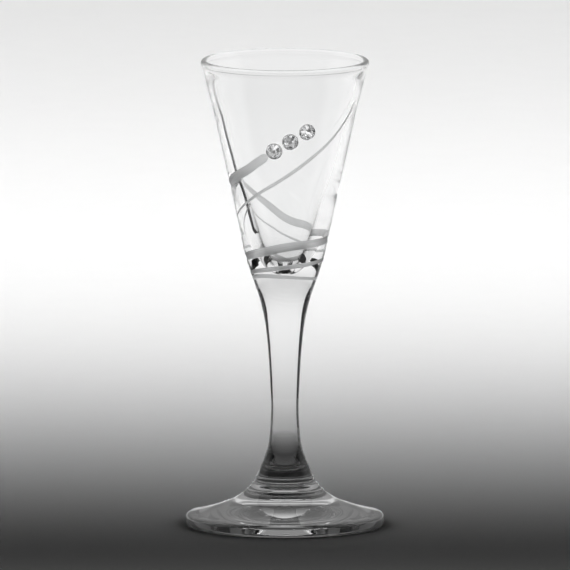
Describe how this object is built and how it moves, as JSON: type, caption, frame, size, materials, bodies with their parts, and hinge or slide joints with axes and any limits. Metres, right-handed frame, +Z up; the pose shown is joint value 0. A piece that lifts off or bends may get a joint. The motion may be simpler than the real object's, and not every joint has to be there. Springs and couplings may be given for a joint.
{
  "type": "cordial glass",
  "caption": "Small stemmed drinking glass with a conical thick-walled bowl, a solid flared stem, a round foot and a rising row of faceted stones.",
  "frame": {"origin": "on the table, under the middle of the foot", "axes": "+Z up along the stem, the row of stones facing -Y, +X to the right of somebody who looks at the stones"},
  "size_m": [0.0588, 0.0588, 0.139],
  "materials": {
    "clear_glass": "fire polished, with ground matte stripes on the bowl",
    "crystal": "cut and polished",
    "silver_foil": "silvered",
    "clear_glue": "clear cured"
  },
  "bodies": {
    "root": {"bowl": "clear_glass", "stem": "clear_glass", "foot": "clear_glass", "stone_lower": "crystal", "stone_middle": "crystal", "stone_upper": "crystal", "foil_lower": "silver_foil", "foil_middle": "silver_foil", "foil_upper": "silver_foil", "glue_lower": "clear_glue", "glue_middle": "clear_glue", "glue_upper": "clear_glue"}
  },
  "joints": []
}
